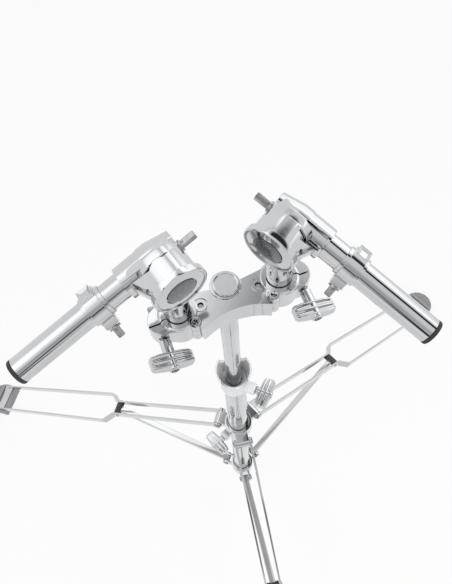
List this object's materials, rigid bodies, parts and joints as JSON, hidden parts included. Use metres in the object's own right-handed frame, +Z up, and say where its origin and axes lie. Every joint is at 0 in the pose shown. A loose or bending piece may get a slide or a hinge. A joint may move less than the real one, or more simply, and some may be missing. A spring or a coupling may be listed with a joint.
{
  "type": "double tom stand",
  "caption": "Chromed floor stand with a folding tripod, a height-adjustable post and a bracket carrying a pair of swivelling, tilting drum arms.",
  "frame": {"origin": "on the floor, under the middle of the whole stand's box", "axes": "+Z up, +X to the right of the bracket seen from the front, +Y to the back"},
  "size_m": [1.0214, 0.9576, 0.9944],
  "materials": {
    "chrome": "polished",
    "steel": "bright",
    "rubber": "matte",
    "foot_rubber": "matte",
    "badge": "gloss",
    "nylon": "matte"
  },
  "bodies": {
    "base": {"base_tube": "chrome", "base_plug": "rubber", "post_bush": "nylon", "height_collar": "chrome", "lower_hub": "chrome"},
    "collar_screw": {"collar_wing_screw": "chrome"},
    "post": {"centre_post": "chrome", "bracket": "chrome", "boss_cap": "chrome", "left_gate_pin": "steel", "left_lug_screw": "steel", "left_wing_bolt": "steel", "right_gate_pin": "steel", "right_lug_screw": "steel", "right_wing_bolt": "steel"},
    "hub": {"upper_hub": "chrome"},
    "hub_screw": {"hub_wing_screw": "chrome"},
    "leg_1": {"leg_1": "chrome", "foot_1": "foot_rubber", "leg_pin_1": "steel"},
    "strut_1": {"strut_1": "chrome", "strut_pin_1": "steel"},
    "leg_2": {"leg_2": "chrome", "foot_2": "foot_rubber", "leg_pin_2": "steel"},
    "strut_2": {"strut_2": "chrome", "strut_pin_2": "steel"},
    "leg_3": {"leg_3": "chrome", "foot_3": "foot_rubber", "leg_pin_3": "steel"},
    "strut_3": {"strut_3": "chrome", "strut_pin_3": "steel"},
    "left_gate": {"left_gate": "chrome"},
    "left_nut": {"left_wing_nut": "chrome"},
    "left_swivel": {"left_arm_post": "chrome"},
    "left_head": {"left_tilter_body": "chrome", "left_tilter_bolt": "steel", "left_gyro_disc": "chrome", "left_gyro_badge": "badge"},
    "left_tube": {"left_arm_tube": "chrome", "left_end_cap": "rubber"},
    "left_lock": {"left_arm_lock": "chrome", "left_lock_bolt": "steel"},
    "right_gate": {"right_gate": "chrome"},
    "right_nut": {"right_wing_nut": "chrome"},
    "right_swivel": {"right_arm_post": "chrome"},
    "right_head": {"right_tilter_body": "chrome", "right_tilter_bolt": "steel", "right_gyro_disc": "chrome", "right_gyro_badge": "badge"},
    "right_tube": {"right_arm_tube": "chrome", "right_end_cap": "rubber"},
    "right_lock": {"right_arm_lock": "chrome", "right_lock_bolt": "steel"}
  },
  "joints": [
    {"name": "height_slide", "type": "slide", "parent": "base", "child": "post", "axis": [0, 0, 1], "range_m": [-0.15, 0.09]},
    {"name": "collar_screw_turn", "type": "hinge", "parent": "base", "child": "collar_screw", "pos_m": [-0.03741, 0.10593, 0.634], "axis": [0.7193, -0.6947, 0], "continuous": true},
    {"name": "hub_slide", "type": "slide", "parent": "base", "child": "hub", "axis": [0, 0, 1], "range_m": [0, 0.18113]},
    {"name": "hub_screw_turn", "type": "hinge", "parent": "hub", "child": "hub_screw", "pos_m": [-0.03741, 0.10593, 0.426], "axis": [-0.9252, -0.3795, 0], "continuous": true},
    {"name": "leg_1_fold", "type": "hinge", "parent": "hub", "child": "leg_1", "pos_m": [-0.00966, 0.11731, 0.426], "axis": [-0.3795, 0.9252, 0], "range_deg": [0, 38.66]},
    {"name": "strut_1_fold", "type": "hinge", "parent": "base", "child": "strut_1", "pos_m": [-0.00966, 0.11731, 0.12393], "axis": [0.3795, -0.9252, 0], "range_deg": [0, 38.66]},
    {"name": "leg_2_fold", "type": "hinge", "parent": "hub", "child": "leg_2", "pos_m": [-0.06115, 0.12427, 0.426], "axis": [-0.6115, -0.7912, 0], "range_deg": [0, 38.66]},
    {"name": "strut_2_fold", "type": "hinge", "parent": "base", "child": "strut_2", "pos_m": [-0.06115, 0.12427, 0.12393], "axis": [0.6115, 0.7912, 0], "range_deg": [0, 38.66]},
    {"name": "leg_3_fold", "type": "hinge", "parent": "hub", "child": "leg_3", "pos_m": [-0.04143, 0.0762, 0.426], "axis": [0.991, -0.134, 0], "range_deg": [0, 38.66]},
    {"name": "strut_3_fold", "type": "hinge", "parent": "base", "child": "strut_3", "pos_m": [-0.04143, 0.0762, 0.12393], "axis": [-0.991, 0.134, 0], "range_deg": [0, 38.66]},
    {"name": "left_gate_open", "type": "hinge", "parent": "post", "child": "left_gate", "pos_m": [-0.07321, 0.08242, 0.9], "axis": [0, 0, 1], "range_deg": [0, 4]},
    {"name": "left_nut_turn", "type": "hinge", "parent": "left_gate", "child": "left_nut", "pos_m": [-0.10221, 0.09692, 0.88595], "axis": [0, -1, 0], "continuous": true},
    {"name": "left_swivel_turn", "type": "hinge", "parent": "post", "child": "left_swivel", "pos_m": [-0.08371, 0.09692, 0.9], "axis": [0, 0, 1], "range_deg": [-35, 35]},
    {"name": "left_tilt", "type": "hinge", "parent": "left_swivel", "child": "left_head", "pos_m": [-0.08371, 0.09692, 0.971], "axis": [0.2756, -0.9613, 0], "range_deg": [-30, 20]},
    {"name": "left_tube_slide", "type": "slide", "parent": "left_head", "child": "left_tube", "axis": [-0.9327, -0.2675, -0.2419], "range_m": [-0.003, 0.01]},
    {"name": "left_lock_slide", "type": "slide", "parent": "left_tube", "child": "left_lock", "axis": [-0.9327, -0.2675, -0.2419], "range_m": [-0.008, 0.03]},
    {"name": "right_gate_open", "type": "hinge", "parent": "post", "child": "right_gate", "pos_m": [-0.00161, 0.08242, 0.9], "axis": [0, 0, -1], "range_deg": [0, 4]},
    {"name": "right_nut_turn", "type": "hinge", "parent": "right_gate", "child": "right_nut", "pos_m": [0.02739, 0.09692, 0.88595], "axis": [0, -1, 0], "continuous": true},
    {"name": "right_swivel_turn", "type": "hinge", "parent": "post", "child": "right_swivel", "pos_m": [0.00889, 0.09692, 0.9], "axis": [0, 0, 1], "range_deg": [-35, 35]},
    {"name": "right_tilt", "type": "hinge", "parent": "right_swivel", "child": "right_head", "pos_m": [0.00889, 0.09692, 0.971], "axis": [0.8434, 0.5373, 0], "range_deg": [-30, 20]},
    {"name": "right_tube_slide", "type": "slide", "parent": "right_head", "child": "right_tube", "axis": [0.511, -0.8021, -0.309], "range_m": [-0.003, 0.01]},
    {"name": "right_lock_slide", "type": "slide", "parent": "right_tube", "child": "right_lock", "axis": [0.511, -0.8021, -0.309], "range_m": [-0.008, 0.03]}
  ],
  "couplings": [
    {"joint": "leg_1_fold", "follows": "hub_slide", "rad_per_m": 3.7249},
    {"joint": "strut_1_fold", "follows": "hub_slide", "rad_per_m": 3.7249},
    {"joint": "leg_2_fold", "follows": "hub_slide", "rad_per_m": 3.7249},
    {"joint": "strut_2_fold", "follows": "hub_slide", "rad_per_m": 3.7249},
    {"joint": "leg_3_fold", "follows": "hub_slide", "rad_per_m": 3.7249},
    {"joint": "strut_3_fold", "follows": "hub_slide", "rad_per_m": 3.7249}
  ]
}
